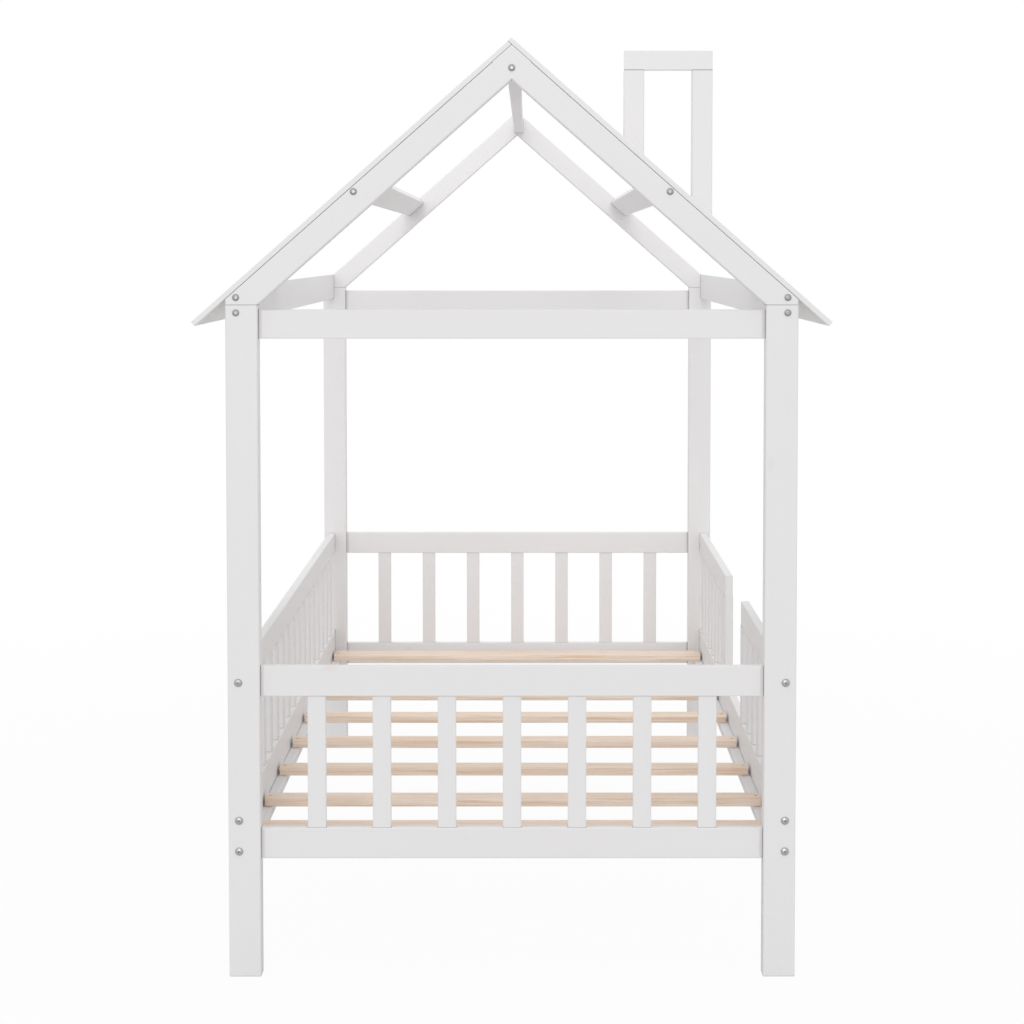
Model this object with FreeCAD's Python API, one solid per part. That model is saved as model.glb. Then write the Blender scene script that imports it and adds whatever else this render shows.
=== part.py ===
# House frame bed: a low slatted bed between four posts, with picket guards and an open house
# frame above it that carries two short roof boards and a chimney.
#
# Millimetres. X runs across the bed, Y along it with the front end at -Y, Z up from the floor.
# The origin is on the floor, midway between the posts.

import FreeCAD, Part
import math
import os

os.makedirs("parts", exist_ok=True)

Vector = FreeCAD.Vector
ORIGIN = Vector(0, 0, 0)
X = Vector(1, 0, 0)
Y = Vector(0, 1, 0)
Z = Vector(0, 0, 1)

# Posts
bed_width = 1065.0
bed_length = 1990.0
post_height = 1265.0
post_wide = 60.0
post_deep = 40.0
post_radius = 3.0
end_chamfer = 0.8

# Boards of the two ends and the two sides
board_thick = 18.0
board_setback = 11.0
board_chamfer = 1.5

# End boards: height above the floor, height of the board, and how they enter the posts
low_rail_bottom = 222.0
low_rail_tall = 58.0
guard_top = 587.0
high_rail_tall = 57.0
top_beam_drop = 9.0
top_beam_tall = 54.0
shoulder_bevel_long = 7.0
shoulder_bevel_deep = 4.0
tenon_thick = 8.0
tenon_long = 25.0
tenon_shoulder = 8.0
mortise_play = 0.2
mortise_spare = 1.0

# Side rails and guards
side_rail_tall = 98.0
guard_rail_tall = 52.0
front_guard_long = 732.0
back_guard_long = 793.0
stile_thick = 20.0

# Pickets
picket_wide = 34.5
picket_thick = 14.0
picket_chamfer = 1.0
stub_long = 10.0
stub_shoulder = 5.0
end_pickets = 7
left_pickets = 16
front_guard_pickets = 6
back_guard_pickets = 7

# Slats and the ledgers they lie on
ledger_size = 20.0
ledger_rise = 9.0
ledger_clear = 20.0
slat_wide = 50.0
back_slat_wide = 72.0
slat_thick = 16.5
slat_clear = 6.0
slat_chamfer = 1.5
first_slat_gap = 28.0
main_slats_gap = 241.5
last_slat_gap = 39.5
main_slats = 7

# Roof frame
roof_pitch = 41.4
rafter_wide = 48.0
ridge_wide = 24.0
ridge_tall = 40.0
ridge_shift = 4.0
ridge_clear = 4.0
purlin_wide = 54.0
purlin_from_ridge = 357.0
eave_drop = 31.0

# Roof boards
roof_thick = 10.0
roof_long = 600.0
roof_overhang = 76.0
roof_chamfer = 1.0

# Chimney
chimney_leg = 38.0
chimney_wide = 167.0
chimney_from_ridge = 211.6
chimney_setback = 90.0
chimney_short_face = 133.6
chimney_bar_tall = 38.0
chimney_bar_thick = 18.0

# Bolts with barrel nuts
bolt_radius = 3.0
bolt_head_radius = 7.0
bolt_head_tall = 3.0
bolt_past_nut = 8.0
bolt_hole_play = 0.5
bolt_hole_spare = 1.0
nut_radius = 5.0
nut_long = 14.0
nut_from_end = 36.0
nut_play = 0.2
nut_hole_play = 0.1
rail_bolt_rise = 16.0
rail_bolt_drop = 23.6
guard_bolt_rise = 22.4

# One-piece screws
screw_radius = 3.0
screw_head_radius = 6.0
screw_head_tall = 2.5
screw_long = 75.0
screw_play = 0.2
screw_spare = 1.0
eave_screw_drop = 14.7
rafter_screw_rise = 13.7
purlin_screw_edge = 12.0
ridge_screw_rise = 15.5

# Sockets in the heads
socket_across = 5.0
socket_deep = 2.0

# Dowels between posts and rafters
dowel_radius = 4.0
dowel_long = 29.0
dowel_play = 0.1
dowel_spare = 0.5
dowel_inset = 17.5

# Planes that the pieces share
half_width = bed_width / 2
half_length = bed_length / 2
post_inner_x = half_width - post_wide
post_inner_y = half_length - post_deep
board_x = half_width - board_setback - board_thick / 2
board_y = half_length - board_setback - board_thick / 2
board_inner_x = board_x - board_thick / 2
board_outer_x = board_x + board_thick / 2
side_rail_top = low_rail_bottom + side_rail_tall
low_rail_top = low_rail_bottom + low_rail_tall
high_rail_bottom = guard_top - high_rail_tall
guard_rail_bottom = guard_top - guard_rail_tall
top_beam_bottom = post_height - top_beam_drop - top_beam_tall
ledger_top = low_rail_bottom + ledger_rise + ledger_size
pitch = math.radians(roof_pitch)
slope = math.tan(pitch)
rafter_inner_apex = post_height + post_inner_x * slope
rafter_apex = rafter_inner_apex + rafter_wide / math.cos(pitch)
eave_end = half_width / math.cos(pitch) + roof_overhang
bolt_long = post_deep + nut_from_end + bolt_past_nut


def rafter_top(x):
    """Height of the plane on the rafters' upper faces, x from the centre."""
    return rafter_apex - x * slope


def roof_top(x):
    """Height of the roof board's upper face."""
    return rafter_top(x) + roof_thick / math.cos(pitch)


def on_slope(along, below):
    """Point (x, z) at a distance down the slope from the ridge and below the rafters' upper plane."""
    x = along * math.cos(pitch) - below * math.sin(pitch)
    z = rafter_apex - along * math.sin(pitch) - below * math.cos(pitch)
    return x, z


def box(x0, x1, y0, y1, z0, z1):
    """Box between two corners."""
    return Part.makeBox(x1 - x0, y1 - y0, z1 - z0, Vector(x0, y0, z0))


def section(outline, y0, y1):
    """Solid with an outline of (x, z) points, from y0 to y1."""
    points = [Vector(x, y0, z) for x, z in outline]
    face = Part.Face(Part.makePolygon(points + points[:1]))
    return face.extrude(Vector(0, y1 - y0, 0))


def rod(radius, start, end):
    """Cylinder between two points."""
    axis = end - start
    return Part.makeCylinder(radius, axis.Length, start, axis)


def edges_along(shape, direction):
    """Straight edges of a shape that run in a direction."""
    found = []
    for edge in shape.Edges:
        run = edge.Vertexes[-1].Point - edge.Vertexes[0].Point
        if run.cross(direction).Length < 1e-6 * run.Length:
            found.append(edge)
    return found


def eased(shape, direction, size):
    """Shape with the edges in a direction chamfered."""
    return shape.makeChamfer(size, edges_along(shape, direction))


def eased_end(shape):
    """Shape with the rim of its face at the joint of post and rafter chamfered."""
    rim = [
        edge
        for edge in shape.Edges
        if all(abs(vertex.Point.z - post_height) < 1e-6 for vertex in edge.Vertexes)
    ]
    return shape.makeChamfer(end_chamfer, rim)


def at_corner(shape, side, end):
    """Shape made for the right back corner, mirrored to a side and an end."""
    if side < 0:
        shape = shape.mirror(ORIGIN, X)
    if end < 0:
        shape = shape.mirror(ORIGIN, Y)
    return shape


def spread(start, end, count, wide):
    """Centres of pieces of one width with equal gaps between them and at both ends."""
    gap = (end - start - count * wide) / (count + 1)
    return [start + gap + wide / 2 + n * (gap + wide) for n in range(count)]


def save(node, solids):
    """Write one sub-part, one solid or a group of separate ones."""
    if isinstance(solids, list):
        solids = Part.makeCompound(solids)
    solids.exportStep(f"parts/{node}.step")


# ---- Fixings: each is made for the right back corner ----


def hex_socket(start, inward):
    """Six-sided recess cut inward from the top of a head."""
    corner = socket_across / math.sqrt(3)
    points = []
    for n in range(6):
        angle = math.radians(60 * n)
        points.append(start + Vector(corner * math.cos(angle), 0, corner * math.sin(angle)))
    face = Part.Face(Part.makePolygon(points + points[:1]))
    return face.extrude(inward * socket_deep)


def headed_pin(x, z, radius, length, head_radius, head_tall):
    """Fastener along Y with its head on the post's back face."""
    seat = Vector(x, half_length, z)
    top = seat + Y * head_tall
    solid = rod(head_radius, seat, top).fuse(rod(radius, seat - Y * length, seat))
    return solid.cut(hex_socket(top, -Y))


def bolt(z):
    """Bolt through the post into a side board."""
    return headed_pin(board_x, z, bolt_radius, bolt_long, bolt_head_radius, bolt_head_tall)


def screw(x, z):
    """One-piece screw through a post or rafter into the end of a beam."""
    return headed_pin(x, z, screw_radius, screw_long, screw_head_radius, screw_head_tall)


def pin_hole(x, z, radius, length):
    """Hole from the post's back face, along Y."""
    return rod(radius, Vector(x, half_length - length, z), Vector(x, half_length, z))


def bolt_hole(z):
    """Clearance for the bolt through post and side board."""
    return pin_hole(board_x, z, bolt_radius + bolt_hole_play, bolt_long + bolt_hole_spare)


def screw_hole(x, z):
    """Hole for the one-piece screw."""
    return pin_hole(x, z, screw_radius + screw_play, screw_long + screw_spare)


def barrel(z, radius, inner, outer):
    """Cylinder across the bed on the line of the barrel nut."""
    y = post_inner_y - nut_from_end
    return rod(radius, Vector(inner, y, z), Vector(outer, y, z))


def nut_pocket(z):
    """Blind hole for the barrel nut from the board's inner face."""
    return barrel(z, nut_radius + nut_play, board_inner_x, board_x + nut_long / 2)


def barrel_nut(z):
    """Barrel nut, centred on the bolt."""
    nut = barrel(z, nut_radius, board_x - nut_long / 2, board_x + nut_long / 2)
    return nut.cut(pin_hole(board_x, z, bolt_radius + nut_hole_play, bolt_long))


def dowel(radius, long):
    """Upright cylinder across the joint of post and rafter."""
    x = post_inner_x + dowel_inset
    y = half_length - post_deep / 2
    half = Vector(0, 0, long / 2)
    joint = Vector(x, y, post_height)
    return rod(radius, joint - half, joint + half)


def dowel_hole():
    """Hole for the dowel in both pieces."""
    return dowel(dowel_radius + dowel_play, dowel_long + 2 * dowel_spare)


side_rail_bolts = [low_rail_bottom + rail_bolt_rise, side_rail_top - rail_bolt_drop]
guard_bolts = [guard_rail_bottom + guard_bolt_rise]
eave_screw = (board_x, post_height - eave_screw_drop)
rafter_screw = (board_x, post_height + rafter_screw_rise)
purlin_screw = on_slope(purlin_from_ridge + purlin_wide - purlin_screw_edge, board_thick / 2)
ridge_top = rafter_top(ridge_shift + ridge_wide / 2) - ridge_clear
ridge_bottom = ridge_top - ridge_tall
ridge_screw = (0, ridge_bottom + ridge_screw_rise)


# ---- Pickets: made upright at the origin, wide along X ----


def stubs(wide, length, play, spare):
    """Stub tenons at the foot and the head of a picket, or their mortises with play."""
    half_wide = wide / 2 - stub_shoulder + play
    half_thick = tenon_thick / 2 + play
    reach = stub_long + spare
    foot = box(-half_wide, half_wide, -half_thick, half_thick, -reach, 0)
    head = box(-half_wide, half_wide, -half_thick, half_thick, length, length + reach)
    return [foot, head]


def picket(thick, length):
    """Upright with eased edges and a stub tenon at each end."""
    half = picket_wide / 2
    body = box(-half, half, -thick / 2, thick / 2, 0, length)
    return eased(body, Z, picket_chamfer).fuse(stubs(picket_wide, length, 0, 0))


def row(shape, places, turned):
    """Copies of a shape at (x, y, z) places, wide along Y where turned."""
    copies = []
    for x, y, z in places:
        copy = shape.copy()
        if turned:
            copy.rotate(ORIGIN, Z, 90)
        copy.translate(Vector(x, y, z))
        copies.append(copy)
    return copies


def picket_mortises(length, places, turned):
    """Mortises for the pickets of a row, in the boards below and above."""
    tools = []
    for tool in stubs(picket_wide, length, mortise_play, mortise_spare):
        tools += row(tool, places, turned)
    return tools


# ---- Posts ----

end_board_spans = [
    (low_rail_bottom, low_rail_tall),
    (high_rail_bottom, high_rail_tall),
    (top_beam_bottom, top_beam_tall),
]


def end_tenon(bottom, tall, play, spare):
    """Bar through an end board whose ends are its tenons."""
    reach = post_inner_x + tenon_long + spare
    half = tenon_thick / 2 + play
    low = bottom + tenon_shoulder - play
    high = bottom + tall - tenon_shoulder + play
    return box(-reach, reach, board_y - half, board_y + half, low, high)


def post():
    """Post with rounded long edges, mortises, bolt and screw holes and a dowel hole."""
    solid = box(post_inner_x, half_width, post_inner_y, half_length, 0, post_height)
    solid = eased_end(solid.makeFillet(post_radius, edges_along(solid, Z)))
    tools = [dowel_hole(), screw_hole(*eave_screw)]
    tools += [bolt_hole(z) for z in side_rail_bolts + guard_bolts]
    tools += [end_tenon(bottom, tall, mortise_play, mortise_spare) for bottom, tall in end_board_spans]
    return solid.cut(tools)


corners = [
    ("front_left", -1, -1),
    ("front_right", 1, -1),
    ("back_left", -1, 1),
    ("back_right", 1, 1),
]
for name, side, end in corners:
    save(f"{name}_post", at_corner(post(), side, end))


# ---- Ends: three boards and a row of pickets each ----

end_picket_long = high_rail_bottom - low_rail_top
end_places = [
    (x, board_y, low_rail_top)
    for x in spread(-post_inner_x, post_inner_x, end_pickets, picket_wide)
]


def end_board(bottom, tall):
    """Board across the back end, bevelled to the shoulders of its tenons."""
    full = board_thick / 2
    narrow = full - shoulder_bevel_deep
    reach = post_inner_x - shoulder_bevel_long
    plan = [(reach, full), (post_inner_x, narrow), (post_inner_x, -narrow), (reach, -full)]
    plan += [(-x, -y) for x, y in plan]
    points = [Vector(x, board_y + y, bottom) for x, y in plan]
    solid = Part.Face(Part.makePolygon(points + points[:1])).extrude(Z * tall)
    return eased(solid, X, board_chamfer).fuse(end_tenon(bottom, tall, 0, 0))


end_mortises = picket_mortises(end_picket_long, end_places, False)
low_rail = end_board(low_rail_bottom, low_rail_tall).cut(end_mortises)
high_rail = end_board(high_rail_bottom, high_rail_tall).cut(end_mortises)
top_beam = end_board(top_beam_bottom, top_beam_tall)
end_row = row(picket(picket_thick, end_picket_long), end_places, False)
for name, end in (("front", -1), ("back", 1)):
    save(f"{name}_low_rail", at_corner(low_rail, 1, end))
    save(f"{name}_high_rail", at_corner(high_rail, 1, end))
    save(f"{name}_top_beam", at_corner(top_beam, 1, end))
    save(f"{name}_pickets", [at_corner(solid, 1, end) for solid in end_row])


# ---- Sides: rail, ledger and guards, made on the right ----


def side_board(y0, y1, bottom, tall):
    """Board along the right side."""
    return eased(box(board_inner_x, board_outer_x, y0, y1, bottom, bottom + tall), Y, board_chamfer)


def both_ends(tools):
    """Tools of the back end and their mirror images at the front."""
    return tools + [at_corner(tool, 1, -1) for tool in tools]


def guard(y0, y1, count, stile_ys, tools):
    """Top rail, pickets and stiles of a guard between two planes, and its mortises in the side rail."""
    length = guard_rail_bottom - side_rail_top
    places = [(board_x, y, side_rail_top) for y in spread(y0, y1, count, picket_wide)]
    stile_places = [(board_x, y, side_rail_top) for y in stile_ys]
    mortises = picket_mortises(length, places + stile_places, True)
    low = min([y0] + [y - picket_wide / 2 for y in stile_ys])
    high = max([y1] + [y + picket_wide / 2 for y in stile_ys])
    rail = side_board(low, high, guard_rail_bottom, guard_rail_tall).cut(mortises + tools)
    pickets = row(picket(picket_thick, length), places, True)
    stiles = row(picket(stile_thick, length), stile_places, True)
    return rail, pickets, stiles, mortises


bolt_tools = [bolt_hole(z) for z in side_rail_bolts] + [nut_pocket(z) for z in side_rail_bolts]
guard_tools = [bolt_hole(z) for z in guard_bolts] + [nut_pocket(z) for z in guard_bolts]
front_stile_y = -post_inner_y + front_guard_long - picket_wide / 2
back_stile_y = post_inner_y - back_guard_long + picket_wide / 2

left_rail, left_row, _, left_mortises = guard(
    -post_inner_y, post_inner_y, left_pickets, [], both_ends(guard_tools)
)
front_rail, front_row, front_stile, front_mortises = guard(
    -post_inner_y,
    front_stile_y - picket_wide / 2,
    front_guard_pickets,
    [front_stile_y],
    both_ends(guard_tools),
)
back_rail, back_row, back_stile, back_mortises = guard(
    back_stile_y + picket_wide / 2,
    post_inner_y,
    back_guard_pickets,
    [back_stile_y],
    guard_tools,
)
save("left_guard_rail", at_corner(left_rail, -1, 1))
save("left_guard_pickets", [at_corner(solid, -1, 1) for solid in left_row])
save("right_front_guard_rail", front_rail)
save("right_front_guard_pickets", front_row)
save("right_front_stile", front_stile)
save("right_back_guard_rail", back_rail)
save("right_back_guard_pickets", back_row)
save("right_back_stile", back_stile)

side_rail = side_board(-post_inner_y, post_inner_y, low_rail_bottom, side_rail_tall)
side_rail = side_rail.cut(both_ends(bolt_tools))
save("left_side_rail", at_corner(side_rail.cut(left_mortises), -1, 1))
save("right_side_rail", side_rail.cut(front_mortises + back_mortises))

ledger_reach = post_inner_y - ledger_clear
ledger = box(
    board_inner_x - ledger_size,
    board_inner_x,
    -ledger_reach,
    ledger_reach,
    ledger_top - ledger_size,
    ledger_top,
)
ledger = eased(ledger, Y, board_chamfer)
save("left_ledger", at_corner(ledger, -1, 1))
save("right_ledger", ledger)


# ---- Slats: one near the front end, the others evenly spaced up to a wider one at the back ----


def slat(front, wide):
    """Slat with its front edge at a y."""
    reach = board_inner_x - slat_clear
    solid = box(-reach, reach, front, front + wide, ledger_top, ledger_top + slat_thick)
    return eased(solid, X, slat_chamfer)


first_main_slat = -post_inner_y + main_slats_gap
back_slat = post_inner_y - last_slat_gap - back_slat_wide
slat_pitch = (back_slat - first_main_slat) / (main_slats - 1)
slat_fronts = [-post_inner_y + first_slat_gap]
slat_fronts += [first_main_slat + n * slat_pitch for n in range(main_slats - 1)]
slats = [slat(front, slat_wide) for front in slat_fronts] + [slat(back_slat, back_slat_wide)]
for number, solid in enumerate(slats, 1):
    save(f"slat_{number}", solid)


# ---- Roof frame ----


def rafter(lap_front, lap_back):
    """Right rafter of the back pair, cut away across the ridge between two planes for its partner.

    Its edges are rounded up to the lap, where they stay sharp so that the joint is flush.
    """
    lap = rafter_wide / (2 * math.sin(pitch))
    outline = [
        (-lap, rafter_inner_apex + lap * slope),
        (post_inner_x, post_height),
        (half_width, post_height),
        (half_width, rafter_top(half_width)),
        (0, rafter_apex),
    ]
    solid = section(outline, post_inner_y, half_length)
    along = Vector(math.cos(pitch), 0, -math.sin(pitch))
    solid = solid.makeFillet(post_radius, edges_along(solid, along) + edges_along(solid, Z))
    lozenge = [
        (-lap, rafter_inner_apex + lap * slope),
        (0, rafter_inner_apex),
        (lap, rafter_inner_apex + lap * slope),
        (0, rafter_apex),
    ]
    solid = eased_end(solid).fuse(section(lozenge, post_inner_y, half_length)).removeSplitter()
    crossing = [
        (-2 * lap, rafter_inner_apex - 2 * lap * slope),
        (2 * lap, rafter_inner_apex + 2 * lap * slope),
        (2 * lap, rafter_inner_apex + 4 * lap * slope),
        (-2 * lap, rafter_inner_apex + 4 * lap * slope),
    ]
    tools = [section(crossing, lap_front, lap_back), dowel_hole()]
    tools += [screw_hole(*place) for place in (rafter_screw, purlin_screw, ridge_screw)]
    return solid.cut(tools)


lap_plane = half_length - post_deep / 2
lap_inside = rafter(post_inner_y, lap_plane)
lap_outside = rafter(lap_plane, half_length)
save("front_right_rafter", at_corner(lap_inside, 1, -1))
save("front_left_rafter", at_corner(lap_outside, -1, -1))
save("back_left_rafter", at_corner(lap_inside, -1, 1))
save("back_right_rafter", at_corner(lap_outside, 1, 1))


def beam(outline, screws):
    """Beam between the rafters with a screw hole for each (x, z) place at both ends."""
    solid = section(outline, -post_inner_y, post_inner_y)
    return eased(solid, Y, board_chamfer).cut(both_ends([screw_hole(*place) for place in screws]))


ridge_left = ridge_shift - ridge_wide / 2
ridge_right = ridge_shift + ridge_wide / 2
ridge_outline = [
    (ridge_left, ridge_bottom),
    (ridge_right, ridge_bottom),
    (ridge_right, ridge_top),
    (ridge_left, ridge_top),
]
purlin_outline = [
    on_slope(purlin_from_ridge, board_thick),
    on_slope(purlin_from_ridge + purlin_wide, board_thick),
    on_slope(purlin_from_ridge + purlin_wide, 0),
    on_slope(purlin_from_ridge, 0),
]
eave_outline = [
    (board_inner_x, post_height - eave_drop),
    (board_outer_x, post_height - eave_drop),
    (board_outer_x, rafter_top(board_outer_x)),
    (board_inner_x, rafter_top(board_inner_x)),
]
save("ridge_beam", beam(ridge_outline, [ridge_screw]))
purlin = beam(purlin_outline, [purlin_screw])
eave_beam = beam(eave_outline, [eave_screw, rafter_screw])
for name, side in (("left", -1), ("right", 1)):
    save(f"{name}_purlin", at_corner(purlin, side, 1))
    save(f"{name}_eave_beam", at_corner(eave_beam, side, 1))


# ---- Roof boards: the right one laps over the left at the ridge ----

lap_x = roof_thick / (2 * math.sin(pitch))
lap_z = rafter_apex + lap_x * slope
lower_edge = [on_slope(eave_end, 0), on_slope(eave_end, -roof_thick)]
over_outline = [(-lap_x, lap_z)] + lower_edge + [(0, roof_top(0))]
under_outline = [(0, rafter_apex)] + lower_edge + [(lap_x, lap_z)]


def roof_board(outline):
    """Roof board over the front of the right slope."""
    solid = section(outline, -half_length, -half_length + roof_long)
    along = Vector(math.cos(pitch), 0, -math.sin(pitch))
    return eased(solid, along, roof_chamfer)


save("right_roof_board", roof_board(over_outline))
save("left_roof_board", at_corner(roof_board(under_outline), -1, 1))


# ---- Chimney on the right roof board ----

chimney_right = chimney_from_ridge + chimney_wide
chimney_front = -half_length + chimney_setback
chimney_top = roof_top(chimney_from_ridge) + chimney_short_face


def chimney_post(x0):
    """Leg with its foot cut to the slope."""
    x1 = x0 + chimney_leg
    outline = [(x0, roof_top(x0)), (x1, roof_top(x1)), (x1, chimney_top), (x0, chimney_top)]
    return eased(section(outline, chimney_front, chimney_front + chimney_leg), Z, board_chamfer)


chimney_bar = box(
    chimney_from_ridge,
    chimney_right,
    chimney_front,
    chimney_front + chimney_bar_thick,
    chimney_top,
    chimney_top + chimney_bar_tall,
)
save("chimney_upper_leg", chimney_post(chimney_from_ridge))
save("chimney_lower_leg", chimney_post(chimney_right - chimney_leg))
save("chimney_bar", eased(chimney_bar, X, board_chamfer))


# ---- Fasteners, each kind in one group ----

frame_bolts = []
barrel_nuts = []
house_screws = []
dowels = []
for _, side, end in corners:
    for z in side_rail_bolts + guard_bolts:
        frame_bolts.append(at_corner(bolt(z), side, end))
        barrel_nuts.append(at_corner(barrel_nut(z), side, end))
    for place in (eave_screw, rafter_screw, purlin_screw):
        house_screws.append(at_corner(screw(*place), side, end))
    dowels.append(at_corner(dowel(dowel_radius, dowel_long), side, end))
for end in (-1, 1):
    house_screws.append(at_corner(screw(*ridge_screw), 1, end))
save("frame_bolts", frame_bolts)
save("barrel_nuts", barrel_nuts)
save("house_screws", house_screws)
save("dowels", dowels)
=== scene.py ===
"""House frame bed: finishes, slats, pickets, fasteners, light and camera over the solid model."""

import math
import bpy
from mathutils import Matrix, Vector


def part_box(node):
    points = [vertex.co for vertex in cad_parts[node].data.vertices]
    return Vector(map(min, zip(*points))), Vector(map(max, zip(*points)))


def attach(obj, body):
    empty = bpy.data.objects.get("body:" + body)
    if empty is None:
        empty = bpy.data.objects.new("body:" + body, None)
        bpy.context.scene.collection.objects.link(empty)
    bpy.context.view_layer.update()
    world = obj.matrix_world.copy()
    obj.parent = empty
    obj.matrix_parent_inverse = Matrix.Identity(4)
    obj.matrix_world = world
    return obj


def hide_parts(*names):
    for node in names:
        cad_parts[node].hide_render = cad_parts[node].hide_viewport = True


bl_info = {
    "name": "House Frame Bed",
    "version": (1, 0, 0),
    "blender": (4, 5, 0),
    "location": "View3D > Sidebar > House Bed",
    "description": "Finishes a white house frame bed and sets it in a plain studio",
    "category": "Object",
}

import bpy
from bpy.props import FloatProperty, FloatVectorProperty, IntProperty, PointerProperty
from bpy.types import Operator, Panel, PropertyGroup
from mathutils import Matrix, Vector

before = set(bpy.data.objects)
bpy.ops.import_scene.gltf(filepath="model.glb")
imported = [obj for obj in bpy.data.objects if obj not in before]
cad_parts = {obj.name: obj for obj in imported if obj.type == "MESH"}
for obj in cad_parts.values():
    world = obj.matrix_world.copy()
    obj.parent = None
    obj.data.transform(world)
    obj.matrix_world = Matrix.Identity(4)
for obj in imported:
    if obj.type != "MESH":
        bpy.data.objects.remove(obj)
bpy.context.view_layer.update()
MM = 0.001
WHITE = (1, 1, 1, 1)
SIDES = ("left", "right")
ENDS = ("front", "back")
X_AXIS, Y_AXIS = 0, 1
ROOF_PITCH = math.radians(41.4)

# Directions that boards run in
ACROSS = (1, 0, 0)
ALONG = (0, 1, 0)
UPRIGHT = (0, 0, 1)
DOWN_RIGHT_SLOPE = (math.cos(ROOF_PITCH), 0, -math.sin(ROOF_PITCH))
DOWN_LEFT_SLOPE = (-math.cos(ROOF_PITCH), 0, -math.sin(ROOF_PITCH))


def hex_colour(code):
    """Linear red, green, blue of an sRGB hex colour."""
    values = [int(code[n : n + 2], 16) / 255 for n in (1, 3, 5)]
    return tuple(v / 12.92 if v <= 0.04045 else ((v + 0.055) / 1.055) ** 2.4 for v in values)


# ---- Sizes and colours that a user would change ----


def colour_setting(name, description, code):
    """Colour property with a hex default."""
    return FloatVectorProperty(
        name=name,
        description=description,
        subtype="COLOR",
        size=3,
        min=0,
        max=1,
        default=hex_colour(code),
    )


def length_setting(name, description, least, most, default):
    """Length property, with its limits and its default in millimetres."""
    return FloatProperty(
        name=name,
        description=description,
        unit="LENGTH",
        min=least * MM,
        max=most * MM,
        default=default * MM,
    )


def number_setting(name, description, least, most, default):
    """Number property with its limits and its default."""
    return FloatProperty(
        name=name, description=description, min=least, max=most, default=default
    )


class PaintSettings(PropertyGroup):
    paint: colour_setting("Paint", "Colour of the white lacquer", "#EAE9EA")
    undertone: colour_setting(
        "Undertone",
        "Colour that shows faintly through the lacquer over fibres and knots",
        "#D9D0C8",
    )
    # Painted shade: the colour that the lacquer darkens to within 1 mm of joints and inner
    # corners.
    joint_shade: colour_setting(
        "Joints", "Colour deep in the joints, where the spray doesn't reach", "#625A53"
    )
    gloss_roughness: number_setting("Roughness", "Roughness of the satin film", 0.05, 1, 0.42)


class SlatSettings(PropertyGroup):
    earlywood: colour_setting("Earlywood", "Pale part of the bare pine", "#FDEFE1")
    latewood: colour_setting("Latewood", "Dark lines of the bare pine", "#E2C3A8")
    knot: colour_setting("Knots", "Colour of small knots and of the end grain", "#A07E62")
    edge: length_setting("Eased edge", "Radius of the sanded long edges", 0.5, 6, 2)


class PicketSettings(PropertyGroup):
    edge: length_setting("Eased edge", "Radius of the sanded long edges", 0.5, 5, 2)


class FastenerSettings(PropertyGroup):
    socket_across: length_setting(
        "Socket", "Width across the flats of the sockets in the heads", 2, 8, 5
    )
    screw_head: length_setting(
        "Wood screw head", "Diameter of the countersunk wood screws", 4, 12, 7
    )
    ledger_screws: IntProperty(
        name="Ledger screws",
        description="Wood screws in each ledger",
        min=2,
        max=20,
        default=7,
    )


class StageSettings(PropertyGroup):
    ambient: number_setting(
        "Ambient light", "Strength of the even light from the surroundings", 0, 2, 0.85
    )
    key_strength: number_setting(
        "Key light",
        "Strength of the wide soft light from behind the camera, in watts on a square metre",
        0,
        5,
        0.4,
    )
    back_power: number_setting(
        "Back light",
        "Power of the soft box over the open back of the roof, in watts",
        0,
        200,
        33.0,
    )
    floor: colour_setting("Floor", "Colour of the floor", "#E2E2E2")


# ---- Nodes ----


def add(tree, kind, inputs=None, **settings):
    """Add a node with its settings, and its inputs as values or as sockets to link."""
    node = tree.nodes.new(kind)
    for name, value in settings.items():
        setattr(node, name, value)
    for key, value in (inputs or {}).items():
        if isinstance(value, bpy.types.NodeSocket):
            tree.links.new(value, node.inputs[key])
        else:
            node.inputs[key].default_value = value
    return node


def calc(tree, operation, first, second=None):
    """One step of arithmetic, with a second value where the operation takes one."""
    inputs = {0: first} if second is None else {0: first, 1: second}
    return add(tree, "ShaderNodeMath", inputs, operation=operation).outputs[0]


def remap(tree, value, low, high, start=0.0, stop=1.0):
    """Value that goes from start to stop, mapped to go from low to high."""
    inputs = {"Value": value, "From Min": start, "From Max": stop, "To Min": low, "To Max": high}
    return add(tree, "ShaderNodeMapRange", inputs).outputs[0]


def vector(tree, **axes):
    """Vector of values or sockets for X, Y and Z."""
    return add(tree, "ShaderNodeCombineXYZ", axes).outputs[0]


def length_of(tree, place):
    """Length of a vector."""
    return add(tree, "ShaderNodeVectorMath", {0: place}, operation="LENGTH").outputs["Value"]


# ---- Materials ----


def new_material(name):
    """Empty node material and its tree."""
    material = bpy.data.materials.new(name)
    material.use_nodes = True
    material.node_tree.nodes.clear()
    return material, material.node_tree


def principled(tree, colour, roughness, **more):
    """Principled shader of a colour and a roughness, with more inputs by name."""
    inputs = {"Base Color": colour, "Roughness": roughness, **more}
    return add(tree, "ShaderNodeBsdfPrincipled", inputs)


def finish_surface(tree, shader):
    """Link a shader to the material's output."""
    add(tree, "ShaderNodeOutputMaterial", {"Surface": shader.outputs[0]})


def ramp(tree, factor, stops):
    """Colour ramp of grey or colour stops."""
    node = add(tree, "ShaderNodeValToRGB", {0: factor})
    elements = node.color_ramp.elements
    while len(elements) < len(stops):
        elements.new(0.5)
    for element, (place, colour) in zip(elements, stops):
        element.position = place
        value = (colour,) * 3 if isinstance(colour, (int, float)) else tuple(colour)
        element.color = (*value, 1)
    return node.outputs["Color"]


def mix_colour(tree, factor, first, second):
    """Mix of two colours, at the mix node's inputs 6 and 7 and its output 2."""
    node = add(tree, "ShaderNodeMix", {0: factor, 6: first, 7: second}, data_type="RGBA")
    return node.outputs[2]


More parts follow.
